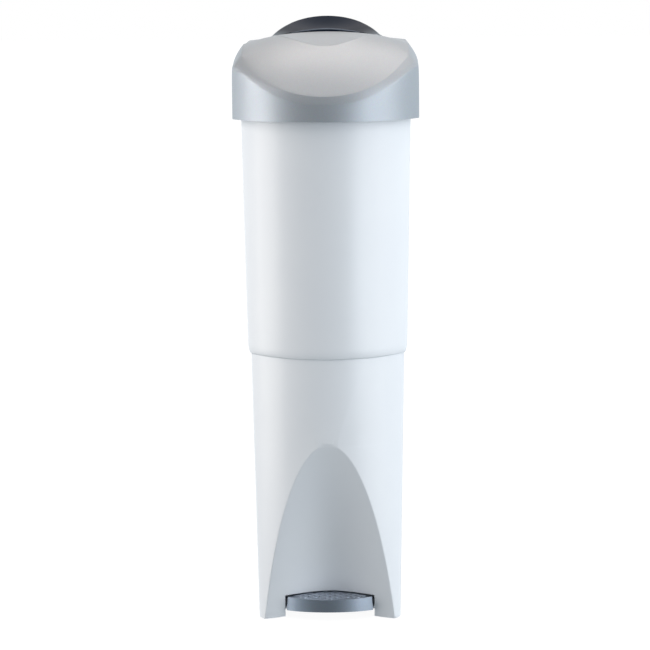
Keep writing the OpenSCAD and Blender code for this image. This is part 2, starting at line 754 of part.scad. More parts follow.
module bag_ring() {
    color(slate) {
        difference() {
            slab(inset(ext_top, clearance), ext_top_z, ring_flange_t);
            slab(inset(ext_top, ring_in), ext_top_z - 1, ring_flange_t + 2);
        }
        difference() {
            slab(inset(ext_top, ring_skirt_in), ext_top_z - ring_skirt_h, ring_skirt_h);
            slab(inset(ext_top, ring_in), ext_top_z - ring_skirt_h - 1, ring_skirt_h + 2);
        }
    }
}

// ---- Hood ----

// Cross radius of the front panel, which flattens towards the ridge
function panel_r(y) = panel_foot_r + (ridge_r - panel_foot_r) * (y + panel_y) / panel_run;
function panel_at(x, y) = let(s = y + panel_y)
    panel_z + tan(panel_slope) * s - panel_curve * s * s - x * x / (2 * panel_r(y));

// Share of the landing's depth that is left at x: all of it in the middle, none at its ends
function landing_left(x) = max(0, 1 - pow(2 * x / landing_w, 2));
// How deep the landing is cut into the panel, d in front of the ridge
function landing_cut(x, d) = let(u = landing_left(x))
    d < landing_run * u ? crown_rise * u + landing_fall * d - panel_curve * d * d / u : 0;
function smooth(t) = let(u = min(max(t, 0), 1)) u * u * (3 - 2 * u);

// The rear deck falls gently from the ridge and flattens across towards the back
function ridge_at(x) = panel_at(x, -ridge_y) - crown_rise * landing_left(x);
function deck_z(x, y) = ridge_z - tan(deck_slope) * (y + ridge_y)
    - (ridge_z - ridge_at(x)) * (1 - 0.7 * smooth((y + ridge_y) / 200));
function hood_top(x, y) = y > -ridge_y ? deck_z(x, y) : panel_at(x, y) - landing_cut(x, -ridge_y - y);

hood_out = plan(hood_w / 2, hood_depth / 2, hood_depth / 2, hood_bow_r, hood_corner_r, hood_corner_r);
hood_in = inward(hood_out);
ridge_column = 13;
ledge_in = 6;
ledge_drop = 7.5;
ledge_depth = 2.5;

// Half of a mouth or flap outline: nf steps along its front, a corner, ns along its side, a corner
// and its back
function mouth_half(hw, yf, yb, r1, r2, nf, ns) = concat(
    [for (i = [0:nf]) [(hw - r1) * i / nf, yf]],
    [for (i = [1:3]) [hw - r1 + r1 * sin(30 * i), yf + r1 - r1 * cos(30 * i)]],
    [for (i = [1:ns]) [hw, yf + r1 + (yb - r2 - yf - r1) * i / ns]],
    [for (i = [1:6]) [hw - r2 + r2 * cos(15 * i), yb - r2 + r2 * sin(15 * i)]],
    [for (i = [1:3]) [(hw - r2) * (1 - i / 3), yb]]);

// The mouth has the same columns as the hood's outline
mouth = mirrored(mouth_half(mouth_w / 2, mouth_front, mouth_back, mouth_front_r, mouth_back_r,
    ridge_column, len(side_steps) - 3));
mouth_in = inward(mouth);
hood_columns = [0:len(hood_out) - 1];

// The band's inset and height at each column: it narrows round the front and is tallest at the sides.
// It keeps its front height for band_steady, and its section bends more at the sides.
band_steady = 50;
band_bend = 1.3;
band_bend_side = 0.4;
function band_inset(j) = band_side
    + (band_front - band_side) * smooth((band_run - hood_depth / 2 - hood_out[j][1]) / band_run);
function side_share(j) = 1 - smooth((-ridge_y - hood_out[j][1]) / (hood_depth / 2 - ridge_y - band_steady));
function band_h(j) = band_front_h + (band_side_h - band_front_h) * side_share(j);
crease = [for (j = hood_columns) hood_out[j] + band_inset(j) * hood_in[j]];
crease_z = [for (p = crease) hood_top(p[0], p[1])];

// A point of the band at column j, the share t of the way from the wall up to the crease. The band
// is round at the sides and nearly flat at the front.
function band_point(j, t) = let(
    p = hood_out[j] + band_inset(j) * pow(t, band_bend + band_bend_side * side_share(j)) * hood_in[j])
    [p[0], p[1], crease_z[j] - band_h(j) * (1 - t)];

// Rows of the top from the crease to the mouth. One of them runs along the landing's lower edge.
top_rows = 10;
landing_row = 6;
nearest_share = 0.1;
farthest_share = 0.95;
share_tries = 16;
function on_top(j, f) = crease[j] + (mouth[j] - crease[j]) * f;
function past_landing(p) = p[1] + ridge_y + landing_run * landing_left(p[0]);
function landing_share(j, low, high, tries) = let(f = (low + high) / 2)
    tries == 0 ? f
    : past_landing(on_top(j, f)) > 0 ? landing_share(j, low, f, tries - 1)
    : landing_share(j, f, high, tries - 1);
landing_shares = [for (j = hood_columns)
    crease[j][1] < -ridge_y - 1
    ? landing_share(j, nearest_share, farthest_share, share_tries)
    : landing_row / top_rows];
function row_share(j, k) = let(f = landing_shares[j])
    k <= landing_row ? f * k / landing_row
    : f + (1 - f) * (k - landing_row) / (top_rows - landing_row);
function top_point(p, drop) = [p[0], p[1], hood_top(p[0], p[1]) - drop];
function ledge_at(j) = let(p = mouth[j]) p[1] > mouth_back - mouth_back_r - 1 ? 0.4 : ledge_in;

module lid_hood() {
    lip = [for (j = hood_columns) mouth[j] - 3 * mouth_in[j]];
    step = [for (j = hood_columns) mouth[j] + ledge_at(j) * mouth_in[j]];
    mouth_z = [for (p = mouth) hood_top(p[0], p[1])];
    skirt = [for (j = hood_columns) hood_out[j] + wall * hood_in[j]];
    tucked = [for (j = hood_columns) hood_out[j] + (band_inset(j) + 1) * hood_in[j]];
    color(silver) swept_shell(concat(
        [at_z(hood_out, hood_z)],
        [for (t = [0:0.2:1]) [for (j = hood_columns) band_point(j, t)]],
        [for (k = [1:top_rows]) [for (j = hood_columns) top_point(on_top(j, row_share(j, k)), 0)]],
        [[for (j = hood_columns) [mouth[j][0], mouth[j][1], mouth_z[j] - ledge_drop]]],
        [for (d = [ledge_drop, ledge_drop + ledge_depth])
            [for (j = hood_columns) [step[j][0], step[j][1], mouth_z[j] - d]]],
        [[for (j = hood_columns) [lip[j][0], lip[j][1], mouth_z[j] - ledge_drop - ledge_depth]]],
        [for (f = [0:4]) [for (j = hood_columns) top_point(lip[j] + (tucked[j] - lip[j]) * f / 4, hood_t)]],
        [[for (j = hood_columns) [skirt[j][0], skirt[j][1], crease_z[j] - band_h(j) - 1]]],
        [at_z(skirt, shelf_z + shelf_t)],
        [at_z(inset(ext_top, spigot_in), shelf_z + shelf_t)],
        [at_z(inset(ext_top, spigot_in), shelf_z - spigot_h)],
        [at_z(inset(ext_top, spigot_out), shelf_z - spigot_h)],
        [at_z(inset(ext_top, spigot_out), shelf_z)],
        [at_z(skirt, shelf_z)],
        [at_z(skirt, hood_z)]));
}

hinge_web_drop = 8;
hinge_foot_t = 3;
hinge_foot_side = 4;

// A hinge bracket on the inside of the hood's rear wall, below the rounded band
module hinge_bracket() {
    wall_y = hood_depth / 2 - wall - clearance / 2;
    wall_top = deck_z(hinge_bracket_x, hood_depth / 2) - band_side_h - 4;
    difference() {
        translate([hinge_bracket_x, 0, 0]) rotate([90, 0, 90]) linear_extrude(hinge_bracket_w) {
            translate([hinge_y, hinge_z]) circle(r = knuckle_r);
            polygon([[hinge_y - knuckle_r, hinge_z], [hinge_y - knuckle_r, hinge_z - hinge_web_drop],
                [wall_y, wall_top - hinge_foot_h], [wall_y, wall_top],
                [hinge_y + knuckle_r * 0.8, hinge_z - knuckle_r * 0.6], [hinge_y, hinge_z]]);
        }
        translate([hinge_bracket_x - 1, hinge_y, hinge_z]) rotate([0, 90, 0])
            cylinder(h = hinge_bracket_w + 2, d = pin_d + bore_gap);
    }
    translate([hinge_bracket_x - hinge_foot_side, wall_y - hinge_foot_t, wall_top - hinge_foot_h])
        cube([hinge_bracket_w + 2 * hinge_foot_side, hinge_foot_t, hinge_foot_h]);
}

module hinge_bracket_right() { color(silver) hinge_bracket(); }
module hinge_bracket_left() { color(silver) mirror([1, 0, 0]) hinge_bracket(); }

module flap_hinge_pin() {
    half = hinge_bracket_x + hinge_bracket_w + 1;
    color(steel) translate([-half, hinge_y, hinge_z]) rotate([0, 90, 0]) cylinder(h = 2 * half, d = pin_d);
}

// ---- Flap ----

flap_outline = mirrored(mouth_half(mouth_w / 2 - flap_gap, flap_front, flap_back,
    mouth_front_r - flap_gap, flap_back_r, 7, 10));
flap_columns = [0:len(flap_outline) - 1];

// Height of the crest's arch at x, seen from the front
function crest_at(x) = crest_z - crest_rise * (1 - sqrt(max(0, 1 - pow(x / crest_half_w, 2))));

// The flap's rim arches up in the middle of its front, dips at its front corners and runs flush behind
rim_proud = 0.5;
rim_dip = 0.6;
lip_half_w = 74;
function lip_at(x) = lip_rise - (lip_rise + rim_dip) * smooth(abs(x) / lip_half_w);
function lip_share(y) = 1 - smooth((y - flap_front) / 90);
function rim_at(x, y) = deck_z(x, y) + rim_proud * (1 - lip_share(y)) + lip_at(x) * lip_share(y);
crest_fall = 70;

// Top of the flap: a shallow dish behind its lip, a wall that sweeps up to the crest, a long fall behind
function flap_top(x, y) = let(
    r = norm([x, y + crest_y]),
    base = rim_at(x, y),
    rise = max(0, crest_at(x) - base),
    up = r < crest_r ? pow(max(0, (r - crest_r + 30) / 30), 2)
        : 0.5 + 0.5 * cos(min(180, 180 * (r - crest_r) / crest_fall)),
    dish = 5 * smooth((y - flap_front - 3) / 18) * (1 - smooth((r - 30) / 38)))
    base - dish + (y > -crest_y ? rise * up : 0);

// Distance of ring k along the ray to outline point p, with ring 6 on the crest where it fits
function flap_ring(p, k) = let(
    c = [0, -crest_y],
    reach = norm(p - c),
    knee = min(crest_r, 0.86 * reach),
    r = k <= 6 ? knee * pow(k / 6, 0.7) : knee + (reach - knee) * (k - 6) / 6)
    c + (p - c) * r / reach;

// Lower edge of the flap's rim, which is deepest under its front lip
rim_drop = 3;
rim_dip_drop = rim_dip + 0.2;
function rim_foot(x, y) = deck_z(x, y) - rim_drop - rim_dip_drop * lip_share(y);

module flap() {
    rim_in = inset(flap_outline, flap_t - 0.2);
    under = [for (k = [1:12]) [for (p = rim_in) let(q = flap_ring(p, k))
        [q[0], q[1], flap_top(q[0], q[1]) - flap_t]]];
    top = [for (k = [12:-1:1]) [for (p = flap_outline) let(q = flap_ring(p, k))
        [q[0], q[1], flap_top(q[0], q[1])]]];
    rim = [for (p = flap_outline) [p[0], p[1], rim_foot(p[0], p[1])]];
    rim_inside = [for (p = rim_in) [p[0], p[1], rim_foot(p[0], p[1])]];
    middle = flap_top(0, -crest_y);
    color(slate) capped_shell([0, -crest_y, middle - flap_t],
        concat(under, [rim_inside], [rim], top), [0, -crest_y, middle]);
}

arm_half = hinge_bracket_x - 1.5;
arm_plate_half = hinge_bracket_x - 6;
arm_plate_l = 30;
arm_plate_t = 3;
arm_plate_y = flap_back - flap_t - clearance;
arm_plate_z = deck_z(arm_plate_half, arm_plate_y) + rim_proud - flap_t - clearance;
crank_w = 12;
crank_t = 7;
crank_bend = [rod_y + 5, crank_tip_z + 8.6];

// The arm under the flap: the hinge barrel, a plate against the flap and the crank that the rod lifts
module flap_hinge_arm() {
    color(slate) difference() {
        union() {
            translate([-arm_half, hinge_y, hinge_z]) rotate([0, 90, 0])
                cylinder(h = 2 * arm_half, r = knuckle_r);
            translate([-arm_plate_half, arm_plate_y, arm_plate_z]) rotate([-deck_slope, 0, 0])
                translate([0, -arm_plate_l, -arm_plate_t])
                cube([2 * arm_plate_half, arm_plate_l, arm_plate_t]);
            bar([[hinge_y, hinge_z], crank_bend, [rod_y, crank_tip_z]], crank_w, crank_t, tip_r);
        }
        translate([-arm_half - 1, hinge_y, hinge_z]) rotate([0, 90, 0])
            cylinder(h = 2 * arm_half + 2, r = pin_d / 2 + bore_gap);
    }
}

buffer_d = 4.8;
buffer_inset = 3.2;
buffer_x = mouth_w / 4;
buffer_y = mouth[ridge_column + 5][1];

// A buffer at p, on the ledge beside point q of the mouth's edge
module flap_buffer(p, q) {
    foot = deck_z(q[0], q[1]) - ledge_drop + clearance;
    translate([p[0], p[1], foot])
        cylinder(h = rim_foot(q[0], q[1]) - 2 * clearance - foot, d = buffer_d);
}

module flap_buffers() {
    color(black) for (s = [-1, 1]) {
        flap_buffer([s * buffer_x, mouth_front + buffer_inset], [buffer_x, mouth_front]);
        flap_buffer([s * (mouth_w / 2 - buffer_inset), buffer_y], [mouth_w / 2, buffer_y]);
    }
}

base_body();
base_plate();
inner_floor();
rubber_feet();
base_screws();
axle_bracket_left();
axle_bracket_right();
bracket_screws();
pedal_axle();
pedal_lever();
pedal();
pedal_screws();
push_rod();
rod_foot();
rod_head();
rod_collar();
return_spring();
rod_guide_lower();
rod_guide_upper();
rod_cover();
extension_body();
bag_ring();
lid_hood();
hinge_bracket_left();
hinge_bracket_right();
flap_hinge_pin();
flap();
flap_hinge_arm();
flap_buffers();
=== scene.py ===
"""A tall pedal-operated nappy bin: a white tapered body, a silver-grey hood and a dark scooped flap."""

import logging
import math
from dataclasses import dataclass, field
from enum import Enum

import bmesh
import bpy
from mathutils import Matrix, Vector


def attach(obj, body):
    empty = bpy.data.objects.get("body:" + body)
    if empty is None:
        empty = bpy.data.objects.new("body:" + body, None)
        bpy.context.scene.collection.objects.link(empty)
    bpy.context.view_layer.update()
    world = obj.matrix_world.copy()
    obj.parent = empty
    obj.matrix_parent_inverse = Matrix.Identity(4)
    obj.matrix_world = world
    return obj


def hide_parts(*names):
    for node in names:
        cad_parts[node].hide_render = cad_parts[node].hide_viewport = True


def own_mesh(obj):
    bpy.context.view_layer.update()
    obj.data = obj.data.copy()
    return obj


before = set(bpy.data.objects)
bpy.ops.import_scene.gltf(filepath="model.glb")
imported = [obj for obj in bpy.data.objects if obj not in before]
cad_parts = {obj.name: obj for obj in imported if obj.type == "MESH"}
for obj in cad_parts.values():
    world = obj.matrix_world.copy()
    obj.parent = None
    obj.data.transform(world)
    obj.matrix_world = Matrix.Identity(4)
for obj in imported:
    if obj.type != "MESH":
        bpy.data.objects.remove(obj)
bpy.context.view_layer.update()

MM = 0.001

# Merging and pairing of a CAD mesh's triangles
MERGE_MM = 0.004
PAIR_FACE_DEG = 25
PAIR_SHAPE_DEG = 100
# Edges of the CAD nodes that are dressed as they are
WELD_MM = 0.002
NODE_EDGE_MM = 0.25
NODE_EDGE_SEGMENTS = 2
NODE_EDGE_DEG = 35.0
# Edges of the finished shells
SHELL_EDGE_SEGMENTS = 3
NORMAL_WEIGHT = 60

log = logging.getLogger("nappy_bin")


class Slot(Enum):
    """The record's material slots, which the scene's own pieces name."""

    WHITE = "white_plastic"
    SILVER = "silver_plastic"
    SLATE = "slate_plastic"
    PEDAL = "pedal_plastic"
    STEEL = "steel"


class Body(Enum):
    """The bodies that move apart from each other."""

    BIN = "bin"
    PEDAL = "pedal"
    ROD = "rod"
    HOOD = "hood"
    FLAP = "flap"


def linear(code: str) -> tuple[float, float, float, float]:
    """Turns an sRGB hex colour into the linear colour that the shaders read.

    Args:
        code: six hex digits, red first.

    Returns:
        Linear red, green, blue and an alpha of 1.
    """
    parts = [int(code[i : i + 2], 16) / 255 for i in (0, 2, 4)]
    made = [p / 12.92 if p <= 0.04045 else ((p + 0.055) / 1.055) ** 2.4 for p in parts]
    return made[0], made[1], made[2], 1.0


def add_node(
    tree: bpy.types.NodeTree,
    kind: str,
    settings: dict[str, object] | None = None,
    inputs: dict[str | int, object] | None = None,
) -> bpy.types.Node:
    """Adds a shader node, sets its options, and fills or links its inputs.

    Args:
        tree: the tree to add to.
        kind: the node's bl_idname.
        settings: attributes of the node by name.
        inputs: a value, or an output socket to link, by input name or number.

    Returns:
        The new node.
    """
    node = tree.nodes.new(kind)
    for name, value in (settings or {}).items():
        setattr(node, name, value)
    for key, value in (inputs or {}).items():
        if isinstance(value, bpy.types.NodeSocket):
            tree.links.new(value, node.inputs[key])
        else:
            node.inputs[key].default_value = value
    return node


def empty_material(name: str) -> bpy.types.Material:
    """Makes a node material with no node in it.

    Args:
        name: the real material's name.

    Returns:
        The material.
    """
    material = bpy.data.materials.new(name)
    material.use_nodes = True
    material.node_tree.nodes.clear()
    return material


@dataclass(frozen=True)
class MouldedPlastic:
    """An injection-moulded plastic: a spark-eroded grain, a faint cloudiness and a satin gloss."""

    name: str
    colour: str
    cloud: str
    roughness: float
    metallic: float = 0.0
    coat: float = 0.0
    coat_roughness: float = 0.2
    grain_mm: float = 1.1
    grain_depth_mm: float = 0.02
    flake: float = 0.0
    specular: float = 0.5
    specular_tint: str = "FFFFFF"
    clouds_per_m: float = 11.0
    flake_mm: float = 0.9
    roughness_spread: float = 0.03
    bump: float = 0.5

    def build(self) -> bpy.types.Material:
        """Makes the node material.

        Returns:
            The material, ready for any mesh of the bin.
        """
        material = empty_material(self.name)
        tree = material.node_tree
        place = add_node(tree, "ShaderNodeTexCoord").outputs["Object"]
        # Resin flow leaves clouds a hand wide that are barely lighter or darker
        clouds = add_node(
            tree,
            "ShaderNodeTexNoise",
            inputs={"Vector": place, "Scale": self.clouds_per_m, "Detail": 3.0, "Roughness": 0.55},
        )
        # The grain of the tool's surface, drawn coarser than the real 0.3 mm so that it shows
        grain = add_node(
            tree,
            "ShaderNodeTexNoise",
            inputs={"Vector": place, "Scale": 1000 / self.grain_mm, "Detail": 2.0, "Roughness": 0.6},
        )
        tint = add_node(
            tree,
            "ShaderNodeMix",
            {"data_type": "RGBA"},
            {0: clouds.outputs["Fac"], 6: linear(self.colour), 7: linear(self.cloud)},
        ).outputs[2]
        if self.flake:
            # Aluminium pigment: each flake catches the light a little differently
            flakes = add_node(
                tree, "ShaderNodeTexVoronoi", inputs={"Vector": place, "Scale": 1000 / self.flake_mm}
            )
            tint = add_node(
                tree,
                "ShaderNodeMix",
                {"data_type": "RGBA", "blend_type": "OVERLAY"},
                {0: self.flake, 6: tint, 7: flakes.outputs["Color"]},
            ).outputs[2]
        rough = add_node(
            tree,
            "ShaderNodeMapRange",
            inputs={
                0: clouds.outputs["Fac"],
                3: self.roughness - self.roughness_spread,
                4: self.roughness + self.roughness_spread,
            },
        )
        bump = add_node(
            tree,
            "ShaderNodeBump",
            inputs={
                "Height": grain.outputs["Fac"],
                "Strength": self.bump,
                "Distance": self.grain_depth_mm * MM,
            },
        )
        shader = add_node(
            tree,
            "ShaderNodeBsdfPrincipled",
            inputs={
                "Base Color": tint,
                "Roughness": rough.outputs[0],
                "Metallic": self.metallic,
                "Specular IOR Level": self.specular,
                "Specular Tint": linear(self.specular_tint),
                "Coat Weight": self.coat,
                "Coat Roughness": self.coat_roughness,
                "Normal": bump.outputs["Normal"],
            },
        )
        add_node(tree, "ShaderNodeOutputMaterial", inputs={"Surface": shader.outputs["BSDF"]})
        return material


@dataclass(frozen=True)
class PlatedSteel:
    """Drawn or stamped steel with bright zinc plating: fine lines along the work and a cloudy bloom."""

    name: str
    colour: str
    bloom: str
    roughness: float
    stretch: tuple[float, float, float]
    line_mm: float = 0.8
    line_depth_mm: float = 0.02
    patches_per_m: float = 100.0
    roughness_spread: float = 0.08
    bump: float = 0.3

    def build(self) -> bpy.types.Material:
        """Makes the node material.

        Returns:
            The material, with its lines along the direction that stretch leaves long.
        """
        material = empty_material(self.name)
        tree = material.node_tree
        place = add_node(tree, "ShaderNodeTexCoord").outputs["Object"]
        turned = add_node(
            tree, "ShaderNodeMapping", inputs={"Vector": place, "Scale": self.stretch}
        ).outputs[0]
        # Drawing lines, about line_mm apart and long in the direction that stretch shrinks
        lines = add_node(
            tree,
            "ShaderNodeTexNoise",
            inputs={"Vector": turned, "Scale": 1000 / self.line_mm, "Detail": 3.0},
        )
        # Zinc bloom in patches of about 10 mm
        patches = add_node(
            tree,
            "ShaderNodeTexNoise",
            inputs={"Vector": place, "Scale": self.patches_per_m, "Detail": 4.0},
        )
        tint = add_node(
            tree,
            "ShaderNodeMix",
            {"data_type": "RGBA"},
            {0: patches.outputs["Fac"], 6: linear(self.colour), 7: linear(self.bloom)},
        )
        rough = add_node(
            tree,
            "ShaderNodeMapRange",
            inputs={
                0: lines.outputs["Fac"],
                3: self.roughness - self.roughness_spread,
                4: self.roughness + self.roughness_spread,
            },
        )
        bump = add_node(
            tree,
            "ShaderNodeBump",
            inputs={
                "Height": lines.outputs["Fac"],
                "Strength": self.bump,
                "Distance": self.line_depth_mm * MM,
            },
        )
        shader = add_node(
            tree,
            "ShaderNodeBsdfPrincipled",
            inputs={
                "Base Color": tint.outputs[2],
                "Metallic": 1.0,
                "Roughness": rough.outputs[0],
                "Normal": bump.outputs["Normal"],
            },
        )
        add_node(tree, "ShaderNodeOutputMaterial", inputs={"Surface": shader.outputs["BSDF"]})
        return material


# Glossy-satin white ABS of the body: cool, bright and faintly cloudy
WHITE_ABS = MouldedPlastic("White satin ABS", "F0F2F5", "EAECF1", 0.34, coat=0.12, coat_roughness=0.22)
# ABS with aluminium pigment: reflects like a dull metal, so its sides go light and its middle dark
SILVER_ABS = MouldedPlastic(
    "Silver-grey pigmented ABS", "B2B7BD", "AAAFB6", 0.46, metallic=0.5, flake=0.05, grain_depth_mm=0.012
)
# Dark blue-grey ABS of the flap, satin
SLATE_ABS = MouldedPlastic(
    "Slate satin ABS", "1A212D", "171D28", 0.36, specular=0.3, specular_tint="B9CCEB", flake=0.03
)
# The flap's lip, painted paler as a highlight along its rounded edge
LIP_HIGHLIGHT_ABS = MouldedPlastic("Slate satin ABS, painted lip highlight", "78808D", "6B737F", 0.4)
# The pedal: grey ABS with much aluminium pigment
PEDAL_ABS = MouldedPlastic("Slate pigmented ABS", "A8B0BC", "9EA6B2", 0.3, metallic=0.9, flake=0.05)
# The tread's scales, painted a little brighter than the cover as the light on the pedal's top
TREAD_HIGHLIGHT_ABS = MouldedPlastic("Slate pigmented ABS, painted lighter", "AEB6C2", "A2AAB6", 0.3, metallic=0.8, flake=0.05)
# Black nylon bushes and caps: a dull sheen
BLACK_NYLON = MouldedPlastic("Black moulded nylon", "15161A", "1B1D21", 0.5, grain_mm=0.9)
# Rubber of the feet and buffers: nearly no gloss
BLACK_RUBBER = MouldedPlastic(
    "Black moulded rubber", "141414", "1C1C1C", 0.78, grain_mm=0.8, grain_depth_mm=0.05
)
# Zinc-plated steel, drawn along Z for the rod and spring, across X for shafts and plates
UPRIGHT_STEEL = PlatedSteel("Zinc-plated drawn steel", "C9CCD1", "B4B9C1", 0.3, (1.0, 1.0, 0.04))
CROSS_STEEL = PlatedSteel("Zinc-plated stamped steel", "C9CCD1", "B4B9C1", 0.34, (0.04, 1.0, 1.0))


def add_edges(piece: bpy.types.Object, width_mm: float, segments: int, angle_deg: float) -> None:
    """Rounds the piece's edges that are sharper than an angle.

    Args:
        piece: a mesh object.
        width_mm: width of the rounding.
        segments: faces across it.
        angle_deg: edges that turn more than this are rounded.
    """
    edges = piece.modifiers.new("edges", "BEVEL")
    edges.width = width_mm * MM
    edges.segments = segments
    edges.limit_method = "ANGLE"
    edges.angle_limit = math.radians(angle_deg)


def add_normals(piece: bpy.types.Object) -> None:
    """Keeps the piece's large faces flat in their shading.

    Args:
        piece: a mesh object.
    """
    normals = piece.modifiers.new("normals", "WEIGHTED_NORMAL")
    normals.weight = NORMAL_WEIGHT


def round_edges(
    work: bmesh.types.BMesh, edges: list[bmesh.types.BMEdge], width_mm: float, segments: int
) -> dict[str, list]:
    """Rounds chosen edges of a mesh.

    Args:
        work: the mesh.
        edges: the edges to round.
        width_mm: how far the rounding reaches to each side.
        segments: faces across it.

    Returns:
        The new faces, edges and verts, by those names.
    """
    return bmesh.ops.bevel(
        work,
        geom=edges,
        offset=width_mm * MM,
        offset_type="OFFSET",
        segments=segments,
        profile=0.5,
        affect="EDGES",
        clamp_overlap=True,
        material=-1,
    )


@dataclass
class Wardrobe:
    """Builds each finish once and puts it on meshes."""

    made: dict[str, bpy.types.Material] = field(default_factory=dict)

    def put(self, piece: bpy.types.Object, finish: MouldedPlastic | PlatedSteel) -> None:
        """Gives a piece one finish in place of any that it has.

        Args:
            piece: a mesh object.
            finish: what it is made of.
        """
        # Clearing an empty list would unmark the faces of a second finish
        if piece.data.materials:
            piece.data.materials.clear()
        self.add(piece, finish)

    def add(self, piece: bpy.types.Object, finish: MouldedPlastic | PlatedSteel) -> None:
        """Gives a piece one more finish, for the faces that are marked for it.

        Args:
            piece: a mesh object.
            finish: what those faces are made of.
        """
        if finish.name not in self.made:
            self.made[finish.name] = finish.build()
        piece.data.materials.append(self.made[finish.name])

    def dress(self, nodes: list[str], finish: MouldedPlastic | PlatedSteel) -> None:
        """Gives CAD nodes a finish, finely rounded edges and smooth shading between them.

        Args:
            nodes: names of CAD nodes.
            finish: what they are made of.
        """
        for name in nodes:
            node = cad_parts[name]
            self.put(node, finish)
            weld = node.modifiers.new("weld", "WELD")
            weld.merge_threshold = WELD_MM * MM
            add_edges(node, NODE_EDGE_MM, NODE_EDGE_SEGMENTS, NODE_EDGE_DEG)
            for face in node.data.polygons:
                face.use_smooth = True
            log.info("%s: %s", name, finish.name)


def merged_copy(node: str) -> bmesh.types.BMesh:
    """Copies a CAD node's mesh with its loose triangles merged and paired into quads.

    Args:
        node: name of a CAD node.

    Returns:
        The mesh, closed and facing outwards.
    """
    work = bmesh.new()
    work.from_mesh(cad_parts[node].data)
    bmesh.ops.remove_doubles(work, verts=work.verts, dist=MERGE_MM * MM)
    bmesh.ops.join_triangles(
        work,
        faces=work.faces,
        angle_face_threshold=math.radians(PAIR_FACE_DEG),
        angle_shape_threshold=math.radians(PAIR_SHAPE_DEG),
    )
    return work


def finish_piece(work: bmesh.types.BMesh, name: str, body: Body) -> bpy.types.Object:
    """Makes an object of a mesh and hangs it on its body.

    Args:
        work: the mesh, which is freed.
        name: the piece's name.
        body: the body that it rides on.

    Returns:
        The new object.
    """
    mesh = bpy.data.meshes.new(name)
    work.to_mesh(mesh)
    work.free()
    for face in mesh.polygons:
        face.use_smooth = True
    piece = bpy.data.objects.new(name, mesh)
    bpy.context.scene.collection.objects.link(piece)
    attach(piece, body.value)
    log.info("%s: %d faces", name, len(mesh.polygons))
    return piece


@dataclass
class MouldedShell:
    """A moulded shell in the CAD node's own form, with its curves smoothed and its edges rounded.

    An edge sharper than hard_deg stays an edge and gets a radius of edge_mm. One between soft_deg and
    hard_deg is a moulded blend, rounded by crease alone.
    """

    name: str
    node: str
    body: Body
    slot: Slot
    finish: MouldedPlastic
    soft_deg: float = 26.0
    hard_deg: float = 50.0
    blend: float = 0.4
    edge_mm: float = 0.6
    edge_deg: float = 40.0
    levels: int = 2

    def build(self, wardrobe: Wardrobe) -> bpy.types.Object:
        """Builds and dresses the shell, which stands for its node.

        Args:
            wardrobe: where its finish comes from.

        Returns:
            The finished piece.
        """
        work = merged_copy(self.node)
        self.shape(work)
        crease = work.edges.layers.float.new("crease_edge")
        for edge in work.edges:
            turn = math.degrees(edge.calc_face_angle(0.0))
            if turn > self.hard_deg:
                edge[crease] = 1.0
            elif turn > self.soft_deg:
                edge[crease] = self.blend
        for edge in self.sharp_edges(work):
            edge[crease] = 1.0
        piece = finish_piece(work, self.name, self.body)
        smooth = piece.modifiers.new("smooth", "SUBSURF")
        smooth.levels = smooth.render_levels = self.levels
        add_edges(piece, self.edge_mm, SHELL_EDGE_SEGMENTS, self.edge_deg)
        add_normals(piece)
        wardrobe.put(piece, self.finish)
        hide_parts(self.node)
        return piece

    def shape(self, work: bmesh.types.BMesh) -> None:
        """Shapes the mesh before it is smoothed. A plain shell needs nothing.

        Args:
            work: the shell's mesh.
        """

    def sharp_edges(self, work: bmesh.types.BMesh) -> list[bmesh.types.BMEdge]:
        """Finds edges that stay crisp although they turn little. A plain shell has none.

        Args:
            work: the shell's mesh.

        Returns:
            Those edges.
        """
        return []


@dataclass
class ArchedShell(MouldedShell):
    """The base, whose arch has a rounded edge that runs up one side and down the other."""

    arch_top_mm: float = 236.0
    corner_x_mm: float = 83.0
    turn_deg: float = 10.5
    arch_radius_mm: float = 3.2
    arch_segments: int = 3
    front_normal: float = -0.3

    def in_arch(self, place: Vector) -> bool:
        """Whether a point, in metres, is low and central enough to belong to the arch.

        Args:
            place: the point.

        Returns:
            True if it is.
        """
        return place.z < self.arch_top_mm * MM and abs(place.x) < self.corner_x_mm * MM

    def shape(self, work: bmesh.types.BMesh) -> None:
        """Rounds the arch's edge.

        Args:
            work: the base's mesh.
        """
        chosen = []
        for edge in work.edges:
            if not all(self.in_arch(v.co) for v in edge.verts):
                continue
            faces = edge.link_faces
            if len(faces) != 2 or any(face.normal.y > self.front_normal for face in faces):
                continue
            turn = math.degrees(edge.calc_face_angle(0.0))
            if turn > self.turn_deg and edge.calc_face_angle_signed(0.0) > 0:
                chosen.append(edge)
        log.info("arch edge: %d edges", len(chosen))
        round_edges(work, chosen, self.arch_radius_mm, self.arch_segments)


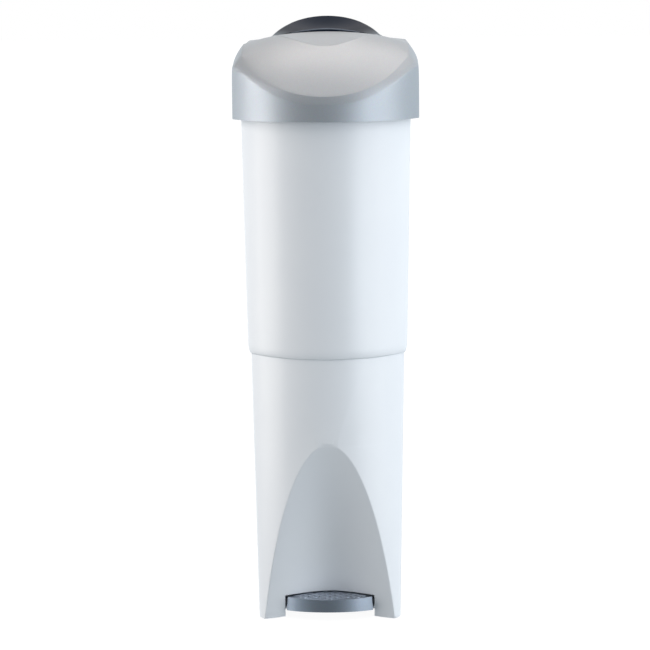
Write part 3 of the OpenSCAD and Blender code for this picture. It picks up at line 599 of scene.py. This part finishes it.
@dataclass
class HoodShell(MouldedShell):
    """The hood, with a crisp line along the top of its band and a bead round the landing before its mouth."""

    band_side_mm: float = 12.4
    band_front_mm: float = 3.4
    band_run_mm: float = 72.0
    front_mm: float = 190.0
    foot_z_mm: float = 631.0
    ridge_y_mm: float = 58.0
    landing_run_mm: float = 62.79
    landing_half_mm: float = 66.0
    near_mm: float = 0.12
    bead_mm: float = 1.2
    bead_rise_mm: float = 0.7
    bead_segments: int = 2
    foot_near_mm: float = 0.05
    top_normal: float = 0.5
    under_normal: float = -0.5
    outer_normal: float = 0.1

    def shape(self, work: bmesh.types.BMesh) -> None:
        """Raises a fine bead along the landing's lower edge.

        Args:
            work: the hood's mesh.
        """
        line = {
            v
            for v in work.verts
            if v.normal.z > self.top_normal and self.on_landing_edge(v.co.x / MM, v.co.y / MM)
        }
        chosen = [edge for edge in work.edges if all(v in line for v in edge.verts)]
        log.info("landing bead: %d edges", len(chosen))
        made = round_edges(work, chosen, self.bead_mm, self.bead_segments)
        bead = set(made["faces"])
        top = [v for v in made["verts"] if all(face in bead for face in v.link_faces)]
        bmesh.ops.translate(work, vec=(0.0, 0.0, self.bead_rise_mm * MM), verts=top)

    def band_inset(self, y: float) -> float:
        """Gives the inset of the band's upper line from the hood's outline.

        Args:
            y: where the outline's point lies, in mm.

        Returns:
            The inset in mm, wide at the sides and narrow in front.
        """
        share = min(max((self.band_run_mm - self.front_mm - y) / self.band_run_mm, 0.0), 1.0)
        share = share * share * (3 - 2 * share)
        return self.band_side_mm + (self.band_front_mm - self.band_side_mm) * share

    def on_landing_edge(self, x: float, y: float) -> bool:
        """Whether a point, seen from above, lies on the landing's lower edge.

        Args:
            x: the point's X, in mm.
            y: the point's Y, in mm.

        Returns:
            True if it lies within near_mm of the edge.
        """
        left = 1 - (x / self.landing_half_mm) ** 2
        return left > 0 and abs(y + self.ridge_y_mm + self.landing_run_mm * left) < self.near_mm

    def sharp_edges(self, work: bmesh.types.BMesh) -> list[bmesh.types.BMEdge]:
        """Finds the edges of the band's upper line.

        Args:
            work: the hood's mesh.

        Returns:
            The edges whose two ends lie on that line.
        """
        low = [v for v in work.verts if abs(v.co.z - self.foot_z_mm * MM) < self.foot_near_mm * MM]
        outline = [
            Vector((v.co.x, v.co.y)) / MM
            for v in low
            if any(f.normal.z > self.under_normal and f.normal.dot(v.co) > 0 for f in v.link_faces)
        ]
        on_band = set()
        for vert in work.verts:
            if vert.normal.z < self.outer_normal:
                continue
            here = Vector((vert.co.x, vert.co.y)) / MM
            near = min(outline, key=lambda point: (point - here).length)
            if abs((near - here).length - self.band_inset(near.y)) < self.near_mm:
                on_band.add(vert)
        lines = [edge for edge in work.edges if all(v in on_band for v in edge.verts)]
        log.info("hood band's line: %d edges", len(lines))
        return lines


@dataclass
class Housing:
    """The white body: the tapered base with its toe recess, the sleeve above it and what is inside."""

    edge_mm: float = 0.7
    plain_nodes: tuple[str, ...] = (
        "base_plate",
        "inner_floor",
        "axle_bracket_left",
        "axle_bracket_right",
        "rod_guide_upper",
        "rod_cover",
    )

    def build(self, wardrobe: Wardrobe) -> None:
        """Builds the shells and dresses the CAD nodes inside them.

        Args:
            wardrobe: where the finishes come from.
        """
        ArchedShell(
            "base_shell", "base_body", Body.BIN, Slot.WHITE, WHITE_ABS, soft_deg=35.0, edge_mm=self.edge_mm
        ).build(wardrobe)
        MouldedShell(
            "extension_shell", "extension_body", Body.BIN, Slot.WHITE, WHITE_ABS, edge_mm=self.edge_mm
        ).build(wardrobe)
        wardrobe.dress(list(self.plain_nodes), WHITE_ABS)
        wardrobe.dress(["bag_ring"], SLATE_ABS)
        wardrobe.dress(["rubber_feet"], BLACK_RUBBER)
        wardrobe.dress(["base_screws", "bracket_screws", "pedal_axle"], CROSS_STEEL)
        wardrobe.dress(["rod_guide_lower"], BLACK_NYLON)


@dataclass
class Hood:
    """The lift-off hood: collar, rounded band, domed panel and rear deck round the mouth."""

    edge_mm: float = 0.5

    def build(self, wardrobe: Wardrobe) -> None:
        """Builds the hood and dresses its hinge.

        Args:
            wardrobe: where the finishes come from.
        """
        HoodShell(
            "hood_shell", "lid_hood", Body.HOOD, Slot.SILVER, SILVER_ABS, soft_deg=30.0, edge_mm=self.edge_mm
        ).build(wardrobe)
        wardrobe.dress(["hinge_bracket_left", "hinge_bracket_right"], SILVER_ABS)
        wardrobe.dress(["flap_hinge_pin"], CROSS_STEEL)
        wardrobe.dress(["flap_buffers"], BLACK_RUBBER)


@dataclass
class LippedShell(MouldedShell):
    """The flap's shell, whose front lip is rounded over."""

    lip_y_mm: float = -40.0
    lip_z_mm: float = 735.0
    lip_radius_mm: float = 1.3
    lip_segments: int = 3
    front_normal: float = -0.3
    upright_normal: float = 0.5
    top_normal: float = 0.7

    def shape(self, work: bmesh.types.BMesh) -> None:
        """Rounds the lip's upper edge and marks it for the second finish, a paler slate painted on as a
        highlight.

        Args:
            work: the flap's mesh.
        """
        chosen = []
        for edge in work.edges:
            if len(edge.link_faces) != 2:
                continue
            if any(v.co.y > self.lip_y_mm * MM or v.co.z < self.lip_z_mm * MM for v in edge.verts):
                continue
            low, high = sorted(edge.link_faces, key=lambda face: face.normal.z)
            upright = low.normal.y < self.front_normal and abs(low.normal.z) < self.upright_normal
            if upright and high.normal.z > self.top_normal:
                chosen.append(edge)
        log.info("flap lip: %d edges", len(chosen))
        made = round_edges(work, chosen, self.lip_radius_mm, self.lip_segments)
        # The rounded lip takes the paler finish: a painted highlight
        for face in made["faces"]:
            face.material_index = 1


@dataclass
class Flap:
    """The dark scooped flap and the arm under it."""

    edge_mm: float = 0.6

    def build(self, wardrobe: Wardrobe) -> None:
        """Builds the flap and dresses its arm.

        Args:
            wardrobe: where the finishes come from.
        """
        shell = LippedShell(
            "flap_shell", "flap", Body.FLAP, Slot.SLATE, SLATE_ABS, soft_deg=35.0, edge_mm=self.edge_mm
        ).build(wardrobe)
        # The lip's paler finish is a painted highlight
        wardrobe.add(shell, LIP_HIGHLIGHT_ABS)
        wardrobe.dress(["flap_hinge_arm"], SLATE_ABS)


@dataclass
class PedalUnit:
    """The pedal: a bowed cover with a raised fish-scale tread, on its steel lever."""

    front_y_mm: float = 136.7
    back_y_mm: float = 80.0
    top_z_mm: float = 28.0
    half_width_mm: float = 53.1
    bow_r_mm: float = 90.0
    scale_pitch_mm: float = 13.4
    scale_rise_mm: float = 0.7
    scale_share: float = 0.47
    scale_top_share: float = 0.86
    scale_low_mm: float = 0.05
    scale_sunk_mm: float = 0.02
    scale_sides: int = 14
    first_row: float = 0.9
    edge_room: float = 0.45
    side_columns: int = 5
    border_mm: float = 4.0
    flat_deg: float = 1.0
    edge_mm: float = 0.9
    edge_deg: float = 35.0

    def front_at(self, x: float) -> float:
        """Gives the place of the pedal's bowed front.

        Args:
            x: distance from the middle, in mm.

        Returns:
            The front's Y there, in mm.
        """
        return self.bow_r_mm - self.front_y_mm - math.sqrt(self.bow_r_mm**2 - x * x)

    def build(self, wardrobe: Wardrobe) -> None:
        """Builds the cover and its tread, and dresses the lever.

        Args:
            wardrobe: where the finishes come from.
        """
        self.build_cover(wardrobe)
        self.build_tread(wardrobe)
        wardrobe.dress(["pedal_lever", "pedal_screws"], CROSS_STEEL)

    def build_cover(self, wardrobe: Wardrobe) -> None:
        """Builds the cover in the CAD node's form, with rounded edges.

        Args:
            wardrobe: where its finish comes from.
        """
        work = merged_copy("pedal")
        flat = math.radians(self.flat_deg)
        bmesh.ops.dissolve_limit(work, angle_limit=flat, verts=work.verts, edges=work.edges)
        cover = finish_piece(work, "pedal_cover", Body.PEDAL)
        add_edges(cover, self.edge_mm, SHELL_EDGE_SEGMENTS, self.edge_deg)
        add_normals(cover)
        wardrobe.put(cover, PEDAL_ABS)
        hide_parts("pedal")

    def build_scale(self) -> bmesh.types.BMesh:
        """Makes one scale: a round pad that rises towards its front edge.

        Returns:
            The scale, centred at the origin, in metres.
        """
        scale = bmesh.new()
        radius = self.scale_pitch_mm * self.scale_share * MM
        bmesh.ops.create_circle(scale, cap_ends=True, radius=radius, segments=self.scale_sides)
        pad = bmesh.ops.extrude_face_region(scale, geom=scale.faces[:])
        raised = [v for v in pad["geom"] if isinstance(v, bmesh.types.BMVert)]
        bmesh.ops.scale(scale, vec=(self.scale_top_share, self.scale_top_share, 1.0), verts=raised)
        for vert in raised:
            lift = 0.5 - 0.5 * vert.co.y / radius
            vert.co.z = (self.scale_low_mm + lift * self.scale_rise_mm) * MM
        return scale

    def build_tread(self, wardrobe: Wardrobe) -> None:
        """Builds the rows of scales on the pedal's top.

        Args:
            wardrobe: where their finish comes from.
        """
        unit = self.build_scale()
        source = bpy.data.meshes.new("scale")
        unit.to_mesh(source)
        unit.free()
        work = bmesh.new()
        pitch = self.scale_pitch_mm
        # Rows half a pitch apart, each shifted half a pitch against the last
        rows = int((self.front_y_mm - self.back_y_mm) / (pitch * 0.5))
        side = self.half_width_mm - self.border_mm - pitch * self.edge_room
        for row in range(rows):
            y = -self.front_y_mm + self.border_mm + pitch * 0.5 * (row + self.first_row)
            shift = 0.5 * (row % 2)
            for column in range(-self.side_columns, self.side_columns + 1):
                x = (column + shift) * pitch
                if abs(x) > side or y < self.front_at(x) + self.border_mm + pitch * self.edge_room:
                    continue
                before = len(work.verts)
                work.from_mesh(source)
                work.verts.ensure_lookup_table()
                place = Vector((x, y, self.top_z_mm - self.scale_sunk_mm)) * MM
                bmesh.ops.translate(work, vec=place, verts=work.verts[before:])
        bpy.data.meshes.remove(source)
        bmesh.ops.recalc_face_normals(work, faces=work.faces)
        tread = finish_piece(work, "pedal_tread", Body.PEDAL)
        # The scales' paler colour is painted light on the pedal's top
        wardrobe.put(tread, TREAD_HIGHLIGHT_ABS)


@dataclass
class LiftGear:
    """The rod, its caps and collar, and the spring that closes the flap."""

    rod_travel_mm: float = 18.37

    def build(self, wardrobe: Wardrobe) -> None:
        """Builds the spring and dresses the CAD nodes of the rod.

        Args:
            wardrobe: where the finishes come from.
        """
        self.build_spring(wardrobe)
        wardrobe.dress(["push_rod", "rod_collar"], UPRIGHT_STEEL)
        wardrobe.dress(["rod_foot", "rod_head"], BLACK_NYLON)

    def build_spring(self, wardrobe: Wardrobe) -> None:
        """Builds the spring, which stands on the rod's collar and rides with the rod.

        Args:
            wardrobe: where the finishes come from.
        """
        spring = finish_piece(merged_copy("return_spring"), "closing_spring", Body.ROD)
        wardrobe.put(spring, UPRIGHT_STEEL)
        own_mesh(spring)
        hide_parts("return_spring")


@dataclass(frozen=True)
class Strip:
    """A soft light that stands beside the bin and faces it. Lengths are in metres.

    azimuth_deg counts from straight in front, positive to the right; height runs from the light's lower to
    its upper edge; level is its centre's height over the floor, and aim the height that it points at.
    """

    name: str
    azimuth_deg: float
    width: float
    power: float
    colour: str
    distance: float = 1.5
    height: float = 2.2
    level: float = 0.75
    aim: float = 0.5


def hang_light(name: str, size: tuple[float, float], power: float, colour: str, place: Matrix) -> None:
    """Hangs a rectangular soft light that the camera doesn't see.

    Args:
        name: the light's name.
        size: metres across and along.
        power: watts.
        colour: six hex digits.
        place: where it hangs. It shines along its own -Z.
    """
    data = bpy.data.lights.new(name, "AREA")
    data.shape = "RECTANGLE"
    data.size, data.size_y = size
    data.energy = power
    data.color = linear(colour)[:3]
    light = bpy.data.objects.new(name, data)
    bpy.context.scene.collection.objects.link(light)
    light.matrix_world = place
    light.visible_camera = False


@dataclass
class Studio:
    """A pale floor, a light surround that is darker in front, lights at the sides and one overhead."""

    camera_mm: tuple[float, float, float] = (42.7, -2817.6, 793.1)
    azimuth_deg: float = 0.97
    pitch_deg: float = 8.79
    roll_deg: float = -0.52
    focal_px: float = 2200.0
    frame_px: float = 650.0
    sensor_mm: float = 36.0
    far_m: float = 40.0
    floor_half_m: float = 30.0
    floor_drop_mm: float = 0.3
    floor_glow: float = 0.94
    front_level: float = 0.2
    surround_level: float = 0.98
    level_range: tuple[float, float] = (-0.97, -0.4)
    below_level: float = 0.14
    below_range: tuple[float, float] = (-0.85, -0.05)
    dark_from: tuple[float, float, float] = (0.14, 0.99, -0.25)
    card_way: tuple[float, float, float] = (-0.76, 0.3, 0.58)
    card_level: float = 0.15
    card_range: tuple[float, float] = (0.79, 0.94)
    wall_tint: str = "E5F2F9"
    ceiling_tint: str = "F8F4F0"
    tint_range: tuple[float, float] = (0.15, 0.75)
    overhead_place: tuple[float, float, float] = (0.1, 0.35, 2.1)
    overhead_size: tuple[float, float] = (1.3, 0.9)
    overhead_power: float = 7.6
    overhead_tint: str = "FFF1E4"
    # The last is low on the right, and lights the recess
    strips: tuple[Strip, ...] = (
        Strip("left strip", -80.0, 1.1, 20.5, "FFFAF6"),
        Strip("right strip", 60.0, 1.2, 13.5, "F9FBFE"),
        Strip("low fill", 40.0, 0.6, 2.3, "ECF7FF", height=0.5, level=0.25, aim=0.25),
    )

    def build(self) -> None:
        """Builds the camera, the floor, the surround and the lights."""
        self.build_camera()
        self.build_floor()
        self.build_surround()
        for strip in self.strips:
            self.build_strip(strip)
        # Over the bin and a little behind it, facing down
        place = Matrix.Translation(Vector(self.overhead_place))
        hang_light("overhead", self.overhead_size, self.overhead_power, self.overhead_tint, place)
        bpy.context.scene.view_settings.view_transform = "Standard"

    def build_camera(self) -> None:
        """Places the camera and makes it the scene's own."""
        data = bpy.data.cameras.new("camera")
        data.sensor_width = self.sensor_mm
        data.lens = self.focal_px / self.frame_px * data.sensor_width
        data.clip_end = self.far_m
        camera = bpy.data.objects.new("camera", data)
        bpy.context.scene.collection.objects.link(camera)
        turn = (
            Matrix.Rotation(math.radians(self.azimuth_deg), 4, "Z")
            @ Matrix.Rotation(math.radians(90 - self.pitch_deg), 4, "X")
            @ Matrix.Rotation(math.radians(self.roll_deg), 4, "Z")
        )
        camera.matrix_world = Matrix.Translation(Vector(self.camera_mm) * MM) @ turn
        bpy.context.scene.camera = camera

    def build_floor(self) -> None:
        """Lays a wide pale floor."""
        work = bmesh.new()
        bmesh.ops.create_grid(work, x_segments=1, y_segments=1, size=self.floor_half_m)
        # A hair below the feet, so that the two faces don't coincide
        bmesh.ops.translate(work, vec=(0.0, 0.0, -self.floor_drop_mm * MM), verts=work.verts)
        mesh = bpy.data.meshes.new("floor")
        work.to_mesh(mesh)
        work.free()
        floor = bpy.data.objects.new("floor", mesh)
        bpy.context.scene.collection.objects.link(floor)
        material = empty_material("White studio floor")
        tree = material.node_tree
        matt = add_node(tree, "ShaderNodeBsdfDiffuse", inputs={"Color": linear("707070")})
        glow = add_node(
            tree, "ShaderNodeEmission", inputs={"Color": linear("FFFFFF"), "Strength": self.floor_glow}
        )
        both = add_node(tree, "ShaderNodeAddShader", inputs={0: matt.outputs[0], 1: glow.outputs[0]})
        add_node(tree, "ShaderNodeOutputMaterial", inputs={"Surface": both.outputs[0]})
        floor.data.materials.append(material)
        # The bin is lit by the surround alone, as if the floor ended near it
        floor.visible_diffuse = floor.visible_glossy = floor.visible_shadow = False

    def build_surround(self) -> None:
        """Makes the surround, light all round but for a darker part in front."""
        world = bpy.data.worlds.new("surround")
        bpy.context.scene.world = world
        world.use_nodes = True
        tree = world.node_tree
        tree.nodes.clear()
        way = add_node(tree, "ShaderNodeTexCoord").outputs["Generated"]
        parts = add_node(tree, "ShaderNodeSeparateXYZ", inputs={0: way})
        # The dark part lies a little to the left, and reaches further back overhead than in front
        away = add_node(
            tree, "ShaderNodeVectorMath", {"operation": "DOT_PRODUCT"}, {0: way, 1: self.dark_from}
        )
        level = add_node(
            tree,
            "ShaderNodeMapRange",
            {"interpolation_type": "SMOOTHSTEP"},
            {
                0: away.outputs["Value"],
                1: self.level_range[0],
                2: self.level_range[1],
                3: self.front_level,
                4: self.surround_level,
            },
        )
        # A dark card hangs high on the left, and shades the hood's band there
        card = add_node(
            tree, "ShaderNodeVectorMath", {"operation": "DOT_PRODUCT"}, {0: way, 1: self.card_way}
        )
        shade = add_node(
            tree,
            "ShaderNodeMapRange",
            {"interpolation_type": "SMOOTHSTEP"},
            {
                0: card.outputs["Value"],
                1: self.card_range[0],
                2: self.card_range[1],
                3: 1.0,
                4: self.card_level,
            },
        )
        level = add_node(
            tree, "ShaderNodeMath", {"operation": "MULTIPLY"}, {0: level.outputs[0], 1: shade.outputs[0]}
        )
        # Little light comes from below
        above = add_node(
            tree,
            "ShaderNodeMapRange",
            {"interpolation_type": "SMOOTHSTEP"},
            {
                0: parts.outputs["Z"],
                1: self.below_range[0],
                2: self.below_range[1],
                3: self.below_level,
                4: level.outputs[0],
            },
        )
        # A cool wall and a neutral ceiling
        rise = add_node(
            tree,
            "ShaderNodeMapRange",
            inputs={0: parts.outputs["Z"], 1: self.tint_range[0], 2: self.tint_range[1]},
        )
        tint = add_node(
            tree,
            "ShaderNodeMix",
            {"data_type": "RGBA"},
            {0: rise.outputs[0], 6: linear(self.wall_tint), 7: linear(self.ceiling_tint)},
        )
        light = add_node(
            tree, "ShaderNodeBackground", inputs={"Color": tint.outputs[2], "Strength": above.outputs[0]}
        )
        seen = add_node(tree, "ShaderNodeBackground", inputs={"Color": linear("FFFFFF"), "Strength": 1.0})
        path = add_node(tree, "ShaderNodeLightPath")
        both = add_node(
            tree,
            "ShaderNodeMixShader",
            inputs={0: path.outputs["Is Camera Ray"], 1: light.outputs[0], 2: seen.outputs[0]},
        )
        add_node(tree, "ShaderNodeOutputWorld", inputs={"Surface": both.outputs[0]})

    def build_strip(self, strip: Strip) -> None:
        """Hangs one of the lights that face the bin.

        Args:
            strip: what it is and where it stands.
        """
        around = math.radians(strip.azimuth_deg)
        place = Vector((math.sin(around) * strip.distance, -math.cos(around) * strip.distance, strip.level))
        facing = Vector((-place.x, -place.y, strip.aim - strip.level)).to_track_quat("-Z", "Y")
        matrix = Matrix.Translation(place) @ facing.to_matrix().to_4x4()
        hang_light(strip.name, (strip.width, strip.height), strip.power, strip.colour, matrix)


def main() -> None:
    """Builds the bin, piece by piece, and the studio round it."""
    logging.basicConfig(level=logging.INFO, format="%(name)s %(message)s")
    wardrobe = Wardrobe()
    for part in (Housing(), Hood(), Flap(), PedalUnit(), LiftGear()):
        log.info("building %s", type(part).__name__)
        part.build(wardrobe)
    Studio().build()


if __name__ == "__main__":
    main()
